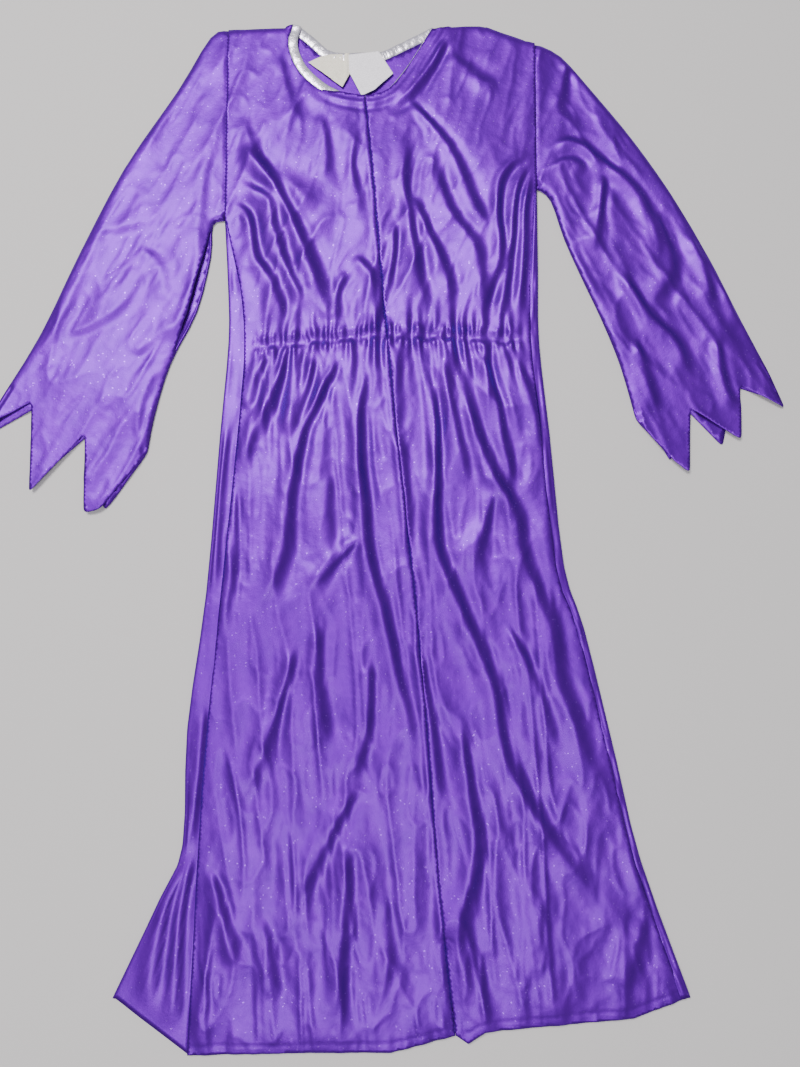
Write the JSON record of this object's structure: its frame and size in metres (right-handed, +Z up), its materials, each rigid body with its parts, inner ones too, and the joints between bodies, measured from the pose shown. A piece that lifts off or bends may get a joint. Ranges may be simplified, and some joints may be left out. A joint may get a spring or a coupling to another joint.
{
  "type": "costume dress",
  "caption": "Child's long satin costume dress laid flat, with jagged cuffs, a bound round neck, a gathered elastic waist and sleeves that fold over its front.",
  "frame": {"origin": "centre of the bounding box in plan, on the surface that the dress lies on", "axes": "+Y up the dress from hem to neck, +X towards the wearer's left, +Z up from the surface, out of the front of the dress"},
  "size_m": [0.8068, 1.03, 0.0137],
  "materials": {
    "violet_satin": "glossy satin with fine sparkle",
    "seam_allowance": "wrong side of satin, overlocked",
    "silver_binding": "silver lame ribbon",
    "cream_label_cloth": "matt woven label",
    "white_label_cloth": "smooth printed label, blank",
    "elastic": "ribbed narrow elastic",
    "closure_tape": "hook and loop tape"
  },
  "bodies": {
    "dress": {"back_hem": "seam_allowance", "centre_back_seam": "seam_allowance", "centre_front_seam": "seam_allowance", "front_hem": "seam_allowance", "front_neck_binding": "silver_binding", "hook_tape": "closure_tape", "left_armhole_seam": "seam_allowance", "left_back_neck_binding": "silver_binding", "left_back_panel": "violet_satin", "left_front_panel": "violet_satin", "left_shoulder_seam": "seam_allowance", "left_side_seam": "seam_allowance", "loop_tape": "closure_tape", "right_armhole_seam": "seam_allowance", "right_back_neck_binding": "silver_binding", "right_back_panel": "violet_satin", "right_front_panel": "violet_satin", "right_shoulder_seam": "seam_allowance", "right_side_seam": "seam_allowance", "waist_elastic": "elastic"},
    "left_sleeve": {"left_sleeve_back": "violet_satin", "left_sleeve_fold": "violet_satin", "left_sleeve_front": "violet_satin", "left_sleeve_seam": "seam_allowance"},
    "right_sleeve": {"right_sleeve_back": "violet_satin", "right_sleeve_fold": "violet_satin", "right_sleeve_front": "violet_satin", "right_sleeve_seam": "seam_allowance"},
    "size_label": {"size_label": "cream_label_cloth"},
    "care_label": {"care_label": "white_label_cloth"}
  },
  "joints": [
    {"name": "right_sleeve_fold", "type": "hinge", "parent": "dress", "child": "right_sleeve", "pos_m": [-0.1655, 0.405, 0.019], "axis": [0, 1, 0], "range_deg": [0, 180]},
    {"name": "left_sleeve_fold", "type": "hinge", "parent": "dress", "child": "left_sleeve", "pos_m": [0.1555, 0.405, 0.027], "axis": [0, -1, 0], "range_deg": [0, 180]},
    {"name": "size_label_flip", "type": "hinge", "parent": "dress", "child": "size_label", "pos_m": [-0.05553, 0.4838, 0.0053], "axis": [-0.9976, -0.0697, 0], "range_deg": [0, 165]},
    {"name": "care_label_flip", "type": "hinge", "parent": "dress", "child": "care_label", "pos_m": [-0.02153, 0.48301, 0.0053], "axis": [-0.9703, -0.2419, 0], "range_deg": [0, 165]}
  ]
}
